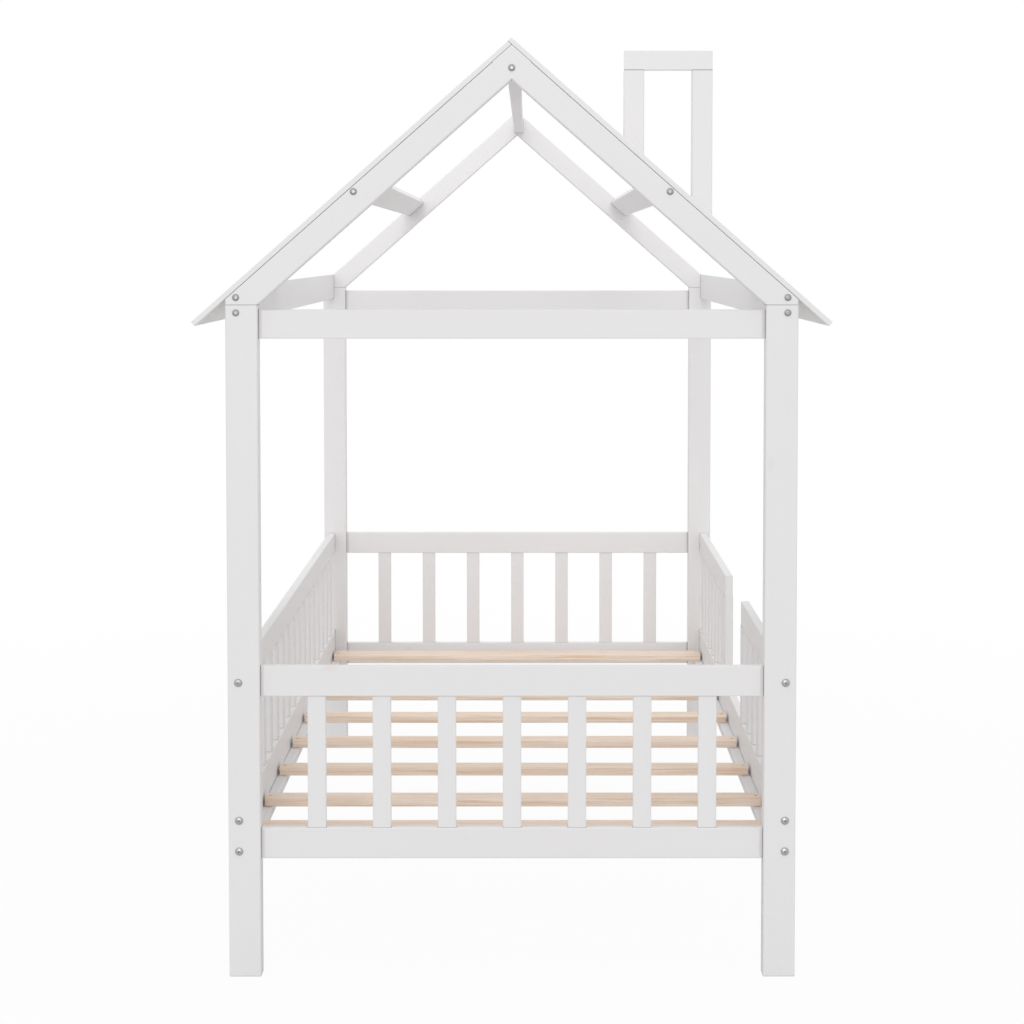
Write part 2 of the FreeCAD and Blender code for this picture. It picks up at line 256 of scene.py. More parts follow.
def grain_space(tree, run, stretch):
    """Object coordinates in millimetres, turned so that X runs along the board, and stretched."""
    place = add(tree, "ShaderNodeTexCoord").outputs["Object"]
    turn = Vector(run).rotation_difference(Vector(ACROSS)).to_euler()
    along = add(tree, "ShaderNodeMapping", {"Vector": place, "Rotation": turn}).outputs[0]
    scale = (1 / (MM * stretch), 1 / MM, 1 / MM)
    return add(tree, "ShaderNodeMapping", {"Vector": along, "Scale": scale}).outputs[0]


def noise(tree, run, stretch, width, detail, **more):
    """Noise with features of a width in millimetres across the board, longer by the stretch."""
    inputs = {"Vector": grain_space(tree, run, stretch), "Scale": 1 / width, "Detail": detail}
    return add(tree, "ShaderNodeTexNoise", {**inputs, **more}).outputs[0]


def knot_distance(tree, run, stretch, spacing):
    """Distance from scattered knots, as a share of their spacing in millimetres."""
    inputs = {"Vector": grain_space(tree, run, stretch), "Scale": 1 / spacing, "Randomness": 1.0}
    return add(tree, "ShaderNodeTexVoronoi", inputs).outputs["Distance"]


def bump(tree, strength, depth, height, **more):
    """Relief of a depth in millimetres."""
    inputs = {"Strength": strength, "Distance": depth * MM, "Height": height, **more}
    return add(tree, "ShaderNodeBump", inputs).outputs[0]


def lacquered_pine(name, run, joint_shade_share, settings):
    """Pine under white water-based satin lacquer, sprayed and sanded between coats.

    The film hides the colour of the wood and rounds its surface, so the eye gets an even white
    with long faint ridges where the fibres stand, a fine pebble from the spray, a warmer patch
    over a knot here and there, and a soft broad highlight. Within 1 mm of joints and inner
    corners the colour is darkened by painted shade.
    """
    material, tree = new_material(name)
    # Fibre bundles about 2.5 mm across, drawn coarser than the real 0.3 mm so that they show.
    fibres = noise(tree, run, stretch=40, width=2.5, detail=4, Roughness=0.6)
    # Spray pebble about 1.5 mm across.
    pebble = noise(tree, run, stretch=1, width=1.5, detail=1)
    # Film thickness drifts over about 160 mm across the board and three times that along it.
    drift = noise(tree, run, stretch=3, width=160, detail=2)
    # A knot about 16 mm wide in every 130 mm of width and 300 mm of length.
    knots = knot_distance(tree, run, stretch=2.3, spacing=130)
    patch = ramp(tree, knots, [(0.0, 0.3), (0.035, 0.25), (0.075, 0.0)])
    lines = ramp(tree, fibres, [(0.35, 0.0), (0.75, 0.06)])
    warm = (*settings.undertone, 1)
    base = mix_colour(tree, lines, (*settings.paint, 1), warm)
    base = mix_colour(tree, ramp(tree, drift, [(0.3, 0.0), (0.7, 0.05)]), base, warm)
    base = mix_colour(tree, patch, base, warm)
    # Painted shade: within 1 mm of joints and inner corners, where ambient occlusion finds near
    # surfaces, the colour darkens towards the joint shade colour.
    occlusion = add(tree, "ShaderNodeAmbientOcclusion", {"Distance": 1.0 * MM}, samples=8)
    depths = [(0.0, 0.45 * joint_shade_share), (0.65, 0.9 * joint_shade_share), (0.98, 0.0)]
    joint_shade = ramp(tree, occlusion.outputs["AO"], depths)
    base = mix_colour(tree, joint_shade, base, (*settings.joint_shade, 1))
    gloss = settings.gloss_roughness
    sheen = remap(tree, pebble, gloss - 0.05, gloss + 0.07)
    ridges = bump(tree, 0.25, 0.12, fibres)
    relief = bump(tree, 0.2, 0.05, pebble, Normal=ridges)
    finish_surface(tree, principled(tree, base, sheen, IOR=1.48, Normal=relief))
    return material


def planed_pine(name, run, settings):
    """Plantation pine, planed and left bare.

    Growth rings cut lengthwise give pale earlywood with darker latewood lines along the slat,
    small brown knots, a dull silky surface, and darker end grain.
    """
    material, tree = new_material(name)
    # Rings about 5.5 mm apart, wandering slowly along the length.
    rings = noise(tree, run, stretch=55, width=5.5, detail=5, Roughness=0.62, Distortion=0.35)
    # Fibre bundles about 1.6 mm across, drawn coarser than the real ones so that they show.
    fibres = noise(tree, run, stretch=60, width=1.6, detail=4, Roughness=0.7)
    # Each slat comes from another board, so tone changes from slat to slat and along one.
    board = noise(tree, run, stretch=9, width=70, detail=1)
    # A knot about 9 mm wide in every 62 mm of width and 250 mm of length.
    knots = knot_distance(tree, run, stretch=4.0, spacing=62)
    late = ramp(tree, rings, [(0.44, 0.0), (0.55, 0.35), (0.64, 0.95), (0.7, 0.3)])
    fine = ramp(tree, fibres, [(0.42, 0.0), (0.68, 0.55)])
    dark = (*settings.latewood, 1)
    brown = (*settings.knot, 1)
    base = mix_colour(tree, late, (*settings.earlywood, 1), dark)
    base = mix_colour(tree, fine, base, dark)
    base = mix_colour(tree, ramp(tree, board, [(0.35, 0.0), (0.7, 0.28)]), base, dark)
    knot = ramp(tree, knots, [(0.0, 0.85), (0.05, 0.7), (0.085, 0.0)])
    base = mix_colour(tree, knot, base, brown)
    # End grain: the faces that look along the slat.
    facing = add(tree, "ShaderNodeNewGeometry").outputs["Normal"]
    turned = add(
        tree, "ShaderNodeVectorMath", {0: facing, 1: Vector(run)}, operation="DOT_PRODUCT"
    ).outputs["Value"]
    end = ramp(tree, calc(tree, "ABSOLUTE", turned), [(0.8, 0.0), (0.95, 0.55)])
    base = mix_colour(tree, end, base, brown)
    relief = bump(tree, 0.3, 0.1, fibres)
    finish_surface(tree, principled(tree, base, 0.62, IOR=1.5, Normal=relief))
    return material


def plated_steel(name, face_reflection_code, rim_shade_code, roughness):
    """Turned steel with a thin plating that is dull in patches of a few millimetres.

    The heads of the frame bolts and house screws face along Y. Faces turned along Y take the
    paler face colour, a painted reflection; the dome where it falls away to the rim and the
    walls of the socket take the darker rim colour, a painted shade, which shows as a dark ring
    round a paler face. Wood screws and barrel nuts face other ways and are mostly dark.
    """
    material, tree = new_material(name)
    facing = add(tree, "ShaderNodeNewGeometry").outputs["Normal"]
    toward_end = add(tree, "ShaderNodeSeparateXYZ", {0: facing}).outputs["Y"]
    flat = calc(tree, "ABSOLUTE", toward_end)
    # Painted reflection and shade: the colour goes from the rim colour to the face colour as a
    # face turns towards Y.
    colour = ramp(tree, flat, [(0.9, hex_colour(rim_shade_code)), (0.985, hex_colour(face_reflection_code))])
    patches = noise(tree, ACROSS, stretch=1, width=3.0, detail=3)
    rough = remap(tree, patches, roughness - 0.08, roughness + 0.1)
    relief = bump(tree, 0.2, 0.03, patches)
    finish_surface(tree, principled(tree, colour, rough, Metallic=1.0, Normal=relief))
    return material


def turned_beech(name):
    """Beech dowel rod: even pinkish brown with short dark flecks along it."""
    material, tree = new_material(name)
    flecks = noise(tree, UPRIGHT, stretch=8, width=0.6, detail=2)
    base = ramp(tree, flecks, [(0.4, hex_colour("#D9B48C")), (0.62, hex_colour("#B98B62"))])
    finish_surface(tree, principled(tree, base, 0.6))
    return material


# ---- Geometry trees ----

MERGE_DISTANCE = 0.01 * MM
EDGE_SEGMENTS = 4
DOME_RINGS = 3
SOCKET_SIDES = 6
SHANK_SIDES = 12
CROSS_HEAD_SIDES = 16
# Shares of the wood screw head's radius
CROSS_HEAD_DEPTH = 0.6
RECESS_LENGTH = 1.15
RECESS_WIDTH = 0.26


def geometry_tree(name, sockets):
    """Geometry tree with a geometry input and named inputs for its sizes."""
    tree = bpy.data.node_groups.new(name, "GeometryNodeTree")
    tree.interface.new_socket("Geometry", in_out="INPUT", socket_type="NodeSocketGeometry")
    tree.interface.new_socket("Geometry", in_out="OUTPUT", socket_type="NodeSocketGeometry")
    for label, kind in sockets:
        tree.interface.new_socket(label, in_out="INPUT", socket_type="NodeSocket" + kind)
    return tree, add(tree, "NodeGroupInput").outputs


def end_tree(tree, geometry):
    """Link the last geometry to the tree's output."""
    add(tree, "NodeGroupOutput", {"Geometry": geometry})


def moved_up(tree, geometry, height):
    """Geometry moved along Z."""
    inputs = {"Geometry": geometry, "Translation": vector(tree, Z=height)}
    return add(tree, "GeometryNodeTransform", inputs).outputs[0]


def painted(tree, geometry, material):
    """Geometry with a material."""
    inputs = {"Geometry": geometry, "Material": material}
    return add(tree, "GeometryNodeSetMaterial", inputs).outputs[0]


def merged(tree, geometry):
    """Geometry with its coincident points made one, so that no face has zero width."""
    inputs = {"Geometry": geometry, "Distance": MERGE_DISTANCE}
    return add(tree, "GeometryNodeMergeByDistance", inputs).outputs[0]


def joined(tree, first, second):
    """Two geometries as one."""
    both = add(tree, "GeometryNodeJoinGeometry", {"Geometry": first})
    tree.links.new(second, both.inputs["Geometry"])
    return both.outputs[0]


def cut_away(tree, solid, *cutters):
    """Solid with the cutters taken out of it."""
    cut = add(
        tree,
        "GeometryNodeMeshBoolean",
        {"Mesh 1": solid, "Mesh 2": cutters[0]},
        operation="DIFFERENCE",
        solver="EXACT",
    )
    for cutter in cutters[1:]:
        tree.links.new(cutter, cut.inputs["Mesh 2"])
    return merged(tree, cut.outputs["Mesh"])


def cylinder(tree, sides, radius, depth):
    """Cylinder round Z with its middle at the origin."""
    inputs = {"Vertices": sides, "Radius": radius, "Depth": depth}
    return add(tree, "GeometryNodeMeshCylinder", inputs).outputs["Mesh"]


def copies(tree, points, piece, turn):
    """A copy of the piece on each point, turned, as real geometry."""
    inputs = {"Points": points, "Instance": piece, "Rotation": turn}
    placed = add(tree, "GeometryNodeInstanceOnPoints", inputs).outputs[0]
    return add(tree, "GeometryNodeRealizeInstances", {"Geometry": placed}).outputs[0]


def own_turn(tree):
    """The turn that each point carries in its facing attribute."""
    return add(
        tree, "GeometryNodeInputNamedAttribute", {"Name": "facing"}, data_type="FLOAT_VECTOR"
    ).outputs["Attribute"]


def bar_tree():
    """Bars with eased long edges, one on each point: wide along X, thick along Y, long along Z."""
    tree, sizes = geometry_tree(
        "bars_with_eased_edges",
        [
            ("Length", "Float"),
            ("Width", "Float"),
            ("Thickness", "Float"),
            ("Edge", "Float"),
            ("Turn", "Vector"),
            ("Timber", "Material"),
        ],
    )
    outline = add(
        tree,
        "GeometryNodeCurvePrimitiveQuadrilateral",
        {"Width": sizes["Width"], "Height": sizes["Thickness"]},
    ).outputs[0]
    eased = add(
        tree,
        "GeometryNodeFilletCurve",
        {"Curve": outline, "Radius": sizes["Edge"], "Count": EDGE_SEGMENTS},
        mode="POLY",
    ).outputs[0]
    face = add(tree, "GeometryNodeFillCurve", {"Curve": eased}, mode="NGONS").outputs[0]
    low_end = moved_up(tree, face, calc(tree, "MULTIPLY", sizes["Length"], -0.5))
    rise = vector(tree, Z=sizes["Length"])
    raised = add(
        tree, "GeometryNodeExtrudeMesh", {"Mesh": low_end, "Offset": rise, "Individual": False}
    ).outputs["Mesh"]
    foot = add(tree, "GeometryNodeFlipFaces", {"Mesh": low_end}).outputs[0]
    bar = merged(tree, joined(tree, raised, foot))
    bars = copies(tree, sizes["Geometry"], bar, sizes["Turn"])
    end_tree(tree, painted(tree, bars, sizes["Timber"]))
    return tree


def domed_disc(tree, radius, height, dome, sides):
    """Disc that stands on its seat at the origin, its top sinking by the dome towards the rim."""
    disc = add(
        tree,
        "GeometryNodeMeshCylinder",
        {
            "Vertices": sides,
            "Side Segments": 1,
            "Fill Segments": DOME_RINGS,
            "Radius": radius,
            "Depth": height,
        },
        fill_type="TRIANGLE_FAN",
    ).outputs["Mesh"]
    half = calc(tree, "MULTIPLY", height, 0.5)
    seated = moved_up(tree, disc, half)
    place = add(tree, "GeometryNodeInputPosition").outputs[0]
    parts = add(tree, "ShaderNodeSeparateXYZ", {0: place}).outputs
    out = length_of(tree, vector(tree, X=parts["X"], Y=parts["Y"]))
    share = calc(tree, "DIVIDE", out, radius)
    fall = calc(tree, "MULTIPLY", calc(tree, "POWER", share, 2.0), dome)
    sunk = vector(tree, Z=calc(tree, "MULTIPLY", fall, -1.0))
    upper = calc(tree, "GREATER_THAN", parts["Z"], half)
    inputs = {"Geometry": seated, "Selection": upper, "Offset": sunk}
    return add(tree, "GeometryNodeSetPosition", inputs).outputs[0]


def socket_head_tree():
    """Domed heads with a six-sided socket and a plain shank, one on each point."""
    tree, sizes = geometry_tree(
        "socket_heads",
        [
            ("Head Radius", "Float"),
            ("Head Height", "Float"),
            ("Dome", "Float"),
            ("Socket Across", "Float"),
            ("Socket Depth", "Float"),
            ("Shank Radius", "Float"),
            ("Shank Length", "Float"),
            ("Sides", "Int"),
            ("Head Steel", "Material"),
            ("Socket Steel", "Material"),
        ],
    )
    disc = domed_disc(
        tree, sizes["Head Radius"], sizes["Head Height"], sizes["Dome"], sizes["Sides"]
    )
    disc = painted(tree, disc, sizes["Head Steel"])
    # The flats of a hexagon lie the square root of 3 times its radius apart.
    socket_radius = calc(tree, "DIVIDE", sizes["Socket Across"], math.sqrt(3))
    # The cutter's middle is on the head's top, so half of it is in the head.
    cutter_depth = calc(tree, "MULTIPLY", sizes["Socket Depth"], 2.0)
    cutter = cylinder(tree, SOCKET_SIDES, socket_radius, cutter_depth)
    cutter = moved_up(tree, cutter, sizes["Head Height"])
    cutter = painted(tree, cutter, sizes["Socket Steel"])
    head = cut_away(tree, disc, cutter)
    shank = cylinder(tree, SHANK_SIDES, sizes["Shank Radius"], sizes["Shank Length"])
    shank = moved_up(tree, shank, calc(tree, "MULTIPLY", sizes["Shank Length"], -0.5))
    shank = painted(tree, shank, sizes["Head Steel"])
    whole = joined(tree, shank, head)
    end_tree(tree, copies(tree, sizes["Geometry"], whole, own_turn(tree)))
    return tree


def cross_head_tree():
    """Countersunk heads with a cross recess, one on each point, a hair above the wood."""
    tree, sizes = geometry_tree(
        "cross_heads",
        [("Head Radius", "Float"), ("Stand", "Float"), ("Dome", "Float"), ("Steel", "Material")],
    )
    radius = sizes["Head Radius"]
    depth = calc(tree, "MULTIPLY", radius, CROSS_HEAD_DEPTH)
    disc = domed_disc(tree, radius, depth, sizes["Dome"], CROSS_HEAD_SIDES)
    long = calc(tree, "MULTIPLY", radius, RECESS_LENGTH)
    wide = calc(tree, "MULTIPLY", radius, RECESS_WIDTH)
    arms = []
    for x, y in ((long, wide), (wide, long)):
        arm = add(tree, "GeometryNodeMeshCube", {"Size": vector(tree, X=x, Y=y, Z=depth)})
        arms.append(moved_up(tree, arm.outputs["Mesh"], depth))
    head = cut_away(tree, disc, *arms)
    seated = moved_up(tree, head, calc(tree, "SUBTRACT", sizes["Stand"], depth))
    heads = copies(tree, sizes["Geometry"], seated, own_turn(tree))
    end_tree(tree, painted(tree, heads, sizes["Steel"]))
    return tree


# ---- Objects ----

SMOOTH_ANGLE = math.radians(35)


def put_in_scene(name, data):
    """New object in the scene."""
    made = bpy.data.objects.new(name, data)
    bpy.context.scene.collection.objects.link(made)
    return made


def grow(name, tree, points, sizes, facings=None):
    """Plain mesh object made by a geometry tree on points."""
    mesh = bpy.data.meshes.new(name + "_points")
    mesh.from_pydata([tuple(p) for p in points], [], [])
    if facings:
        turns = [Vector(f).to_track_quat("Z", "Y").to_euler() for f in facings]
        layer = mesh.attributes.new("facing", "FLOAT_VECTOR", "POINT")
        layer.data.foreach_set("vector", [value for turn in turns for value in turn])
    piece = put_in_scene(name, mesh)
    modifier = piece.modifiers.new(name, "NODES")
    modifier.node_group = tree
    for item in tree.interface.items_tree:
        if item.in_out == "INPUT" and item.name in sizes:
            modifier[item.identifier] = sizes[item.name]
    depsgraph = bpy.context.evaluated_depsgraph_get()
    made = bpy.data.meshes.new_from_object(piece.evaluated_get(depsgraph), depsgraph=depsgraph)
    piece.modifiers.clear()
    piece.data = made
    made.name = name
    bpy.data.meshes.remove(mesh)
    if not made.polygons:
        raise RuntimeError(f"{name} came out empty")
    made.polygons.foreach_set("use_smooth", [True] * len(made.polygons))
    made.set_sharp_from_angle(angle=SMOOTH_ANGLE)
    return piece


def centre(node):
    """Centre of a solid node."""
    low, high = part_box(node)
    return (low + high) / 2


def evenly(first, last, count):
    """Values at even steps from first to last."""
    return [first + (last - first) * n / max(count - 1, 1) for n in range(count)]


def across_row(node, axis, count, width):
    """Centres of a row of like pieces in one node, evenly spaced along an axis."""
    low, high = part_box(node)
    places = []
    for step in evenly(low[axis] + width / 2, high[axis] - width / 2, count):
        place = centre(node)
        place[axis] = step
        places.append(place)
    return places


def slat_nodes():
    """Names of the slats' solids, from front to back."""
    return sorted(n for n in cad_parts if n.startswith("slat_"))


def dress(node, material):
    """Give a solid node its material."""
    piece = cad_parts[node]
    if not piece.data.materials:
        piece.data.materials.append(material)
    for held in piece.material_slots:
        held.material = material


def named_material(name):
    """Material made by an earlier step."""
    if name not in bpy.data.materials:
        raise RuntimeError(f"material {name} is missing: paint the timber first")
    return bpy.data.materials[name]


def check_fit(piece, nodes, slack):
    """Stop unless a piece has the box of the solids it stands for."""
    boxes = [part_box(node) for node in nodes]
    for axis in range(3):
        places = [vertex.co[axis] for vertex in piece.data.vertices]
        least = min(low[axis] for low, _ in boxes)
        most = max(high[axis] for _, high in boxes)
        if abs(min(places) - least) > slack or abs(max(places) - most) > slack:
            raise RuntimeError(f"{piece.name} doesn't fill its solids along axis {axis}")


# ---- Timber finishes ----

RUNS = {
    "across": ACROSS,
    "along": ALONG,
    "upright": UPRIGHT,
    "right_slope": DOWN_RIGHT_SLOPE,
    "left_slope": DOWN_LEFT_SLOPE,
}
# Painted shade in the joints is kept to a quarter of its strength on the boards that run along the
# bed.
JOINT_SHADE_SHARES = {"along": 0.25}
END_BOARDS = ("low_rail", "high_rail", "top_beam")
SIDE_BOARDS = ("side_rail", "ledger", "purlin", "eave_beam")
BOARD_RUNS = {
    "across": [f"{end}_{board}" for end in ENDS for board in END_BOARDS] + ["chimney_bar"],
    "along": [f"{side}_{board}" for side in SIDES for board in SIDE_BOARDS]
    + ["left_guard_rail", "right_front_guard_rail", "right_back_guard_rail", "ridge_beam"],
    "upright": [f"{end}_{side}_post" for end in ENDS for side in SIDES]
    + ["chimney_upper_leg", "chimney_lower_leg"],
    "right_slope": [f"{end}_right_rafter" for end in ENDS] + ["right_roof_board"],
    "left_slope": [f"{end}_left_rafter" for end in ENDS] + ["left_roof_board"],
}
# Colour of the faces turned along Y (a painted reflection), colour of the rim and of faces turned
# away (a painted shade), and roughness
STEELS = {
    "zinc_plated_steel": ("#C6C6C4", "#A0A09E", 0.34),
    # A darker copy of the zinc steel: painted shade for the house screws high under the roof.
    "shaded_plated_steel": ("#B0B0AE", "#8A8A88", 0.36),
    # Darker steel for the sockets: painted shade inside the recess.
    "socket_steel_painted_shade": ("#A0A09E", "#6C6C6A", 0.3),
}


class HOUSEBED_OT_paint_timber(Operator):
    """Make the finishes and give each painted board the one that follows its length"""

    bl_idname = "housebed.paint_timber"
    bl_label = "Paint the timber"

    def execute(self, context):
        paint = context.scene.housebed_paint
        for run, direction in RUNS.items():
            share = JOINT_SHADE_SHARES.get(run, 1.0)
            lacquer = lacquered_pine(f"satin_lacquer_on_pine_{run}", direction, share, paint)
            for node in BOARD_RUNS[run]:
                dress(node, lacquer)
        planed_pine("planed_pine", ACROSS, context.scene.housebed_slats)
        for name, finish in STEELS.items():
            plated_steel(name, *finish)
        dress("dowels", turned_beech("turned_beech"))
        dress("barrel_nuts", named_material("zinc_plated_steel"))
        return {"FINISHED"}


# ---- Slats and pickets ----

# Turns a bar's length from Z to X, its width from X to Y and its thickness from Y to Z.
LYING_ACROSS = tuple(Matrix(((0, 0, 1), (1, 0, 0), (0, 1, 0))).to_euler())
STANDING_ACROSS = (0, 0, 0)
STANDING_ALONG = (0, 0, math.radians(90))
SLAT_SLACK = 0.1 * MM
PICKET_WIDTH = 34.5 * MM
STUB_LENGTH = 10 * MM
# The axis that each row follows and how many stand in it
PICKET_ROWS = {
    "front_pickets": (X_AXIS, 7),
    "back_pickets": (X_AXIS, 7),
    "left_guard_pickets": (Y_AXIS, 16),
    "right_front_guard_pickets": (Y_AXIS, 6),
    "right_back_guard_pickets": (Y_AXIS, 7),
    "right_front_stile": (Y_AXIS, 1),
    "right_back_stile": (Y_AXIS, 1),
}


class HOUSEBED_OT_lay_slats(Operator):
    """Lay the bare pine slats on the ledgers"""

    bl_idname = "housebed.lay_slats"
    bl_label = "Lay the slats"

    def execute(self, context):
        nodes = slat_nodes()
        tree = bar_tree()
        for name, group in (("slats", nodes[:-1]), ("wide_back_slat", nodes[-1:])):
            low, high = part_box(group[0])
            size = high - low
            slats = grow(
                name,
                tree,
                [centre(node) for node in group],
                {
                    "Length": size.x,
                    "Width": size.y,
                    "Thickness": size.z,
                    "Edge": context.scene.housebed_slats.edge,
                    "Turn": LYING_ACROSS,
                    "Timber": named_material("planed_pine"),
                },
            )
            check_fit(slats, group, SLAT_SLACK)
            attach(slats, "root")
            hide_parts(*group)
        return {"FINISHED"}


class HOUSEBED_OT_stand_pickets(Operator):
    """Stand the pickets and stiles with eased edges between their rails"""

    bl_idname = "housebed.stand_pickets"
    bl_label = "Stand the pickets"

    def execute(self, context):
        tree = bar_tree()
        for node, (axis, count) in PICKET_ROWS.items():
            low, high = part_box(node)
            size = high - low
            thin_axis = X_AXIS if axis == Y_AXIS else Y_AXIS
            row = grow(
                node + "_eased",
                tree,
                across_row(node, axis, count, PICKET_WIDTH),
                {
                    "Length": size.z - 2 * STUB_LENGTH,
                    "Width": PICKET_WIDTH,
                    "Thickness": size[thin_axis],
                    "Edge": context.scene.housebed_pickets.edge,
                    "Turn": STANDING_ALONG if axis == Y_AXIS else STANDING_ACROSS,
                    "Timber": named_material("satin_lacquer_on_pine_upright"),
                },
            )
            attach(row, "root")
            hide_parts(node)
        return {"FINISHED"}


# ---- Bolts and screws ----

# Heights above the lower edge of a board, or above or below the top of a post
BOLT_RISES = (16 * MM, 74.4 * MM)
GUARD_BOLT_RISE = 22.4 * MM
EAVE_SCREW_DROP = 14.7 * MM
RAFTER_SCREW_RISE = 13.7 * MM
RIDGE_SCREW_RISE = 15.5 * MM
# Place on the slope, from the apex and below the rafters' upper plane
PURLIN_SCREW_ALONG = 399 * MM
PURLIN_SCREW_BELOW = 9 * MM
HEAD_SIDES = 24
SHANK_RADIUS = 3 * MM
BOLT = {
    "Head Radius": 7 * MM,
    "Head Height": 3 * MM,
    "Dome": 1.6 * MM,
    "Sides": HEAD_SIDES,
    "Socket Depth": 2 * MM,
    "Shank Radius": SHANK_RADIUS,
    "Shank Length": 84 * MM,
}
SCREW = {
    "Head Radius": 6 * MM,
    "Head Height": 2.5 * MM,
    "Dome": 1.3 * MM,
    "Sides": HEAD_SIDES,
    "Socket Depth": 1.6 * MM,
    "Shank Radius": SHANK_RADIUS,
    "Shank Length": 75 * MM,
}
WOOD_SCREW = {"Stand": 0.25 * MM, "Dome": 0.2 * MM}
SLAT_SCREW_INSET = 8 * MM
LEDGER_SCREW_INSET = 60 * MM
ROOF_BOARD_THICKNESS = 10 * MM
CHIMNEY_SCREW_SHIFT = 10 * MM
# Rows in the roof boards: millimetres down the slope, and back from the boards' front edge
RAFTER_ROW = [(along, 20) for along in (90, 250, 520, 670)]
PURLIN_ROW = [(384, back) for back in (190, 380, 570)]
EAVE_ROW = [(683, back) for back in (190, 380, 570)]


def rafter_apex():
    """Height of the rafters' outer apex."""
    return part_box("front_right_rafter")[1].z


def on_right_slope(along, below):
    """Point (x, z) down the right slope from the apex and below the rafters' upper plane."""
    x = along * math.cos(ROOF_PITCH) - below * math.sin(ROOF_PITCH)
    z = rafter_apex() - along * math.sin(ROOF_PITCH) - below * math.cos(ROOF_PITCH)
    return x, z


class HOUSEBED_OT_fit_bolts(Operator):
    """Fit the socket bolts and screws that hold the frame together"""

    bl_idname = "housebed.fit_bolts"
    bl_label = "Fit the bolts"

    def execute(self, context):
        across = context.scene.housebed_fasteners.socket_across
        rail_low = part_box("right_side_rail")[0].z
        guard_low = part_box("left_guard_rail")[0].z
        post_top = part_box("front_right_post")[1].z
        board_x = centre("right_side_rail").x
        bolts = [(board_x, rail_low + rise) for rise in BOLT_RISES]
        bolts.append((board_x, guard_low + GUARD_BOLT_RISE))
        screws = [
            (board_x, post_top - EAVE_SCREW_DROP),
            (board_x, post_top + RAFTER_SCREW_RISE),
            on_right_slope(PURLIN_SCREW_ALONG, PURLIN_SCREW_BELOW),
        ]
        ridge = (0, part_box("ridge_beam")[0].z + RIDGE_SCREW_RISE)
        bolts = [(side * x, z) for x, z in bolts for side in (-1, 1)]
        screws = [(side * x, z) for x, z in screws for side in (-1, 1)] + [ridge]
        tree = socket_head_tree()
        self.fit(tree, "frame_bolts", bolts, BOLT, "zinc_plated_steel", across)
        # The house screws take the darker steel, a painted shade for their place under the roof.
        self.fit(tree, "house_screws", screws, SCREW, "shaded_plated_steel", across)
        return {"FINISHED"}

    def fit(self, tree, node, places, sizes, steel, across):
        """Heads at (x, z) places on both ends of the bed."""
        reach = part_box("back_right_post")[1].y
        points = [(x, end * reach, z) for x, z in places for end in (-1, 1)]
        facings = [(0, end, 0) for _ in places for end in (-1, 1)]
        sizes = {
            **sizes,
            "Socket Across": across,
            "Head Steel": named_material(steel),
            "Socket Steel": named_material("socket_steel_painted_shade"),
        }
        piece = grow(node + "_turned", tree, points, sizes, facings)
        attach(piece, "root")
        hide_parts(node)


class HOUSEBED_OT_drive_screws(Operator):
    """Drive the small wood screws of the slats, ledgers, roof boards and chimney"""

    bl_idname = "housebed.drive_screws"
    bl_label = "Drive the wood screws"

    def execute(self, context):
        settings = context.scene.housebed_fasteners
        tree = cross_head_tree()
        sizes = {
            **WOOD_SCREW,
            "Head Radius": settings.screw_head / 2,
            "Steel": named_material("zinc_plated_steel"),
        }
        for name, (points, facings) in {
            "slat_screws": self.slat_places(),
            "ledger_screws": self.ledger_places(settings.ledger_screws),
            "roof_board_screws": self.roof_places(),
            "chimney_screws": self.chimney_places(),
        }.items():
            piece = grow(name, tree, points, sizes, facings)
            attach(piece, "root")
        return {"FINISHED"}

    def slat_places(self):
        """One screw near each end of each slat, over the ledger."""
        points = []
        for node in slat_nodes():
            low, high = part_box(node)
            for x in (low.x + SLAT_SCREW_INSET, high.x - SLAT_SCREW_INSET):
                points.append((x, (low.y + high.y) / 2, high.z))
        return points, [UPRIGHT] * len(points)

    def ledger_places(self, count):
        """A row along the inner face of each ledger."""
        points, facings = [], []
        for node, inward in (("left_ledger", 1), ("right_ledger", -1)):
            low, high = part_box(node)
            x = high.x if inward > 0 else low.x
            for y in evenly(low.y + LEDGER_SCREW_INSET, high.y - LEDGER_SCREW_INSET, count):
                points.append((x, y, (low.z + high.z) / 2))
                facings.append((inward, 0, 0))
        return points, facings

    def roof_places(self):
        """Rows over the front rafter, the purlin and the eave beam of each slope."""
        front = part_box("right_roof_board")[0].y
        points, facings = [], []
        for side in (-1, 1):
            for along, back in RAFTER_ROW + PURLIN_ROW + EAVE_ROW:
                x, z = on_right_slope(along * MM, -ROOF_BOARD_THICKNESS)
                points.append((side * x, front + back * MM, z))
                facings.append((side * math.sin(ROOF_PITCH), 0, math.cos(ROOF_PITCH)))
        return points, facings

    def chimney_places(self):
        """Two under each leg, up through the roof board."""
        points = []
        for node in ("chimney_upper_leg", "chimney_lower_leg"):
            middle = centre(node)
            z = rafter_apex() - middle.x * math.tan(ROOF_PITCH)
            for shift in (-CHIMNEY_SCREW_SHIFT, CHIMNEY_SCREW_SHIFT):
                points.append((middle.x, middle.y + shift, z))
        down = (-math.sin(ROOF_PITCH), 0, -math.cos(ROOF_PITCH))
        return points, [down] * len(points)


# ---- Stage, with places and distances in metres ----

FLOOR_HALF = 14.0
FLOOR_ROUGHNESS = 0.9
